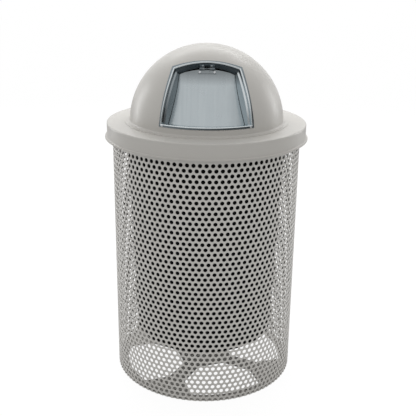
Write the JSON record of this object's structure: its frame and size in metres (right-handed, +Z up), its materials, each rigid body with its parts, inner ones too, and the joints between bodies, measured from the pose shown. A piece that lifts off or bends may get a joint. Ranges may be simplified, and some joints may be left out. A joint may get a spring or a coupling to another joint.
{
  "type": "dome top waste receptacle",
  "caption": "Round perforated steel outdoor litter bin with a tapered plastic liner and a lift-off dome lid whose push door closes by itself.",
  "frame": {"origin": "centre of the round footprint, on the floor", "axes": "+Z up; the push door faces -Y; +X is to the right of someone who looks at the door"},
  "size_m": [0.655, 0.655, 1.1031],
  "materials": {
    "coated_steel": "light grey satin powder coat",
    "liner_plastic": "black moulded plastic",
    "plated_steel": "bright blue-grey plated sheet",
    "zinc_hardware": "bright zinc plate",
    "spring_wire": "plain spring wire",
    "black_rubber": "matt black rubber"
  },
  "bodies": {
    "body": {"wall_front": "coated_steel", "wall_back": "coated_steel", "wall_seams": "coated_steel", "top_bead": "coated_steel", "liner_ring": "coated_steel", "base_plate": "coated_steel"},
    "liner": {"liner": "liner_plastic"},
    "lid": {"lid_collar": "coated_steel", "dome": "coated_steel", "door_frame": "plated_steel", "frame_screws": "zinc_hardware", "door_bumpers": "black_rubber", "hinge_frame_leaf": "zinc_hardware", "hinge_rivets": "zinc_hardware", "hinge_pin": "zinc_hardware", "hinge_spring": "spring_wire"},
    "door": {"door_panel": "plated_steel", "hinge_door_leaf": "zinc_hardware", "hinge_screws": "zinc_hardware", "hinge_nuts": "zinc_hardware"}
  },
  "joints": [
    {"name": "lid_lift", "type": "slide", "parent": "body", "child": "lid", "axis": [0, 0, 1], "range_m": [0, 0.8]},
    {"name": "liner_lift", "type": "slide", "parent": "body", "child": "liner", "axis": [0, 0, 1], "range_m": [0, 0.4]},
    {"name": "door_swing", "type": "hinge", "parent": "lid", "child": "door", "pos_m": [0, -0.12743, 1.04309], "axis": [1, 0, 0], "range_deg": [0, 70], "stiffness_Nm_per_rad": 0.35, "springref_deg": -57.3}
  ],
  "couplings": [
    {"joint": "liner_lift", "follows": "lid_lift", "ratio": 0.5}
  ]
}
